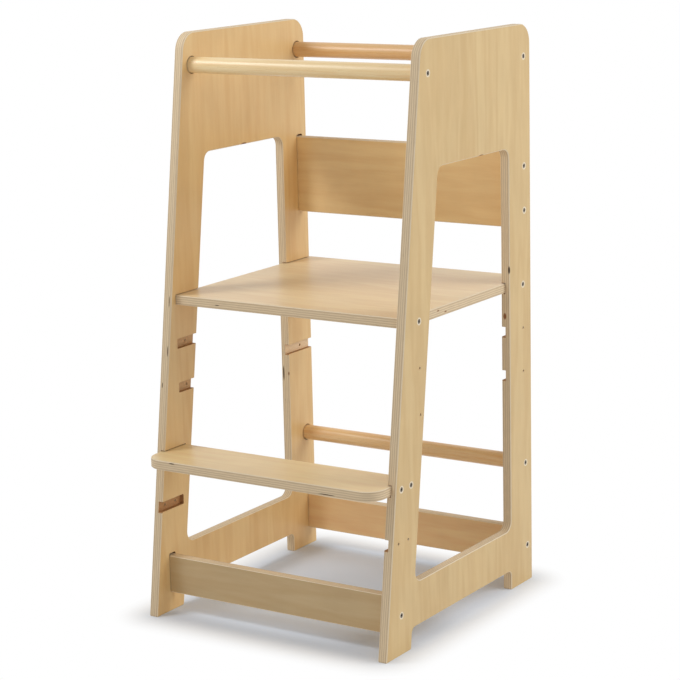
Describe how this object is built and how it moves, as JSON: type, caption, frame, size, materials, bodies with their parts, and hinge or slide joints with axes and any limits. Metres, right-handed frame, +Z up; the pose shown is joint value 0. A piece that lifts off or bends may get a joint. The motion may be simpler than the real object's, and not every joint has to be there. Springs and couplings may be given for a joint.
{
  "type": "toddler kitchen helper stool",
  "caption": "Plywood learning tower: slanted side panels with windows, a height-adjustable platform and step in grooves, a backrest board and round safety rails.",
  "frame": {"origin": "floor level under the middle of the whole stool, half way between the step's nose and the platform's rear edge", "axes": "+Z up; the step is on the -Y side and the backrest on the +Y side; +X is the right-hand panel seen from the step"},
  "size_m": [0.436, 0.471, 0.9],
  "materials": {
    "panel_plywood": "clear satin lacquer on pale plywood, upright grain",
    "board_plywood": "clear satin lacquer on pale plywood, grain along the board",
    "rail_beech": "clear satin lacquer on turned hardwood",
    "screw_steel": "zinc-plated steel, dull"
  },
  "bodies": {
    "root": {"right_side_panel": "panel_plywood", "left_side_panel": "panel_plywood", "platform_board": "board_plywood", "step_board": "board_plywood", "backrest_board": "board_plywood", "front_stretcher": "board_plywood", "rear_stretcher": "board_plywood", "front_top_rail": "rail_beech", "rear_top_rail": "rail_beech", "lower_rear_rail": "rail_beech", "front_top_rail_screws": "screw_steel", "rear_top_rail_screws": "screw_steel", "lower_rear_rail_screws": "screw_steel", "backrest_screws": "screw_steel", "platform_screws": "screw_steel", "step_screws": "screw_steel", "front_stretcher_screws": "screw_steel", "rear_stretcher_screws": "screw_steel"}
  },
  "joints": []
}
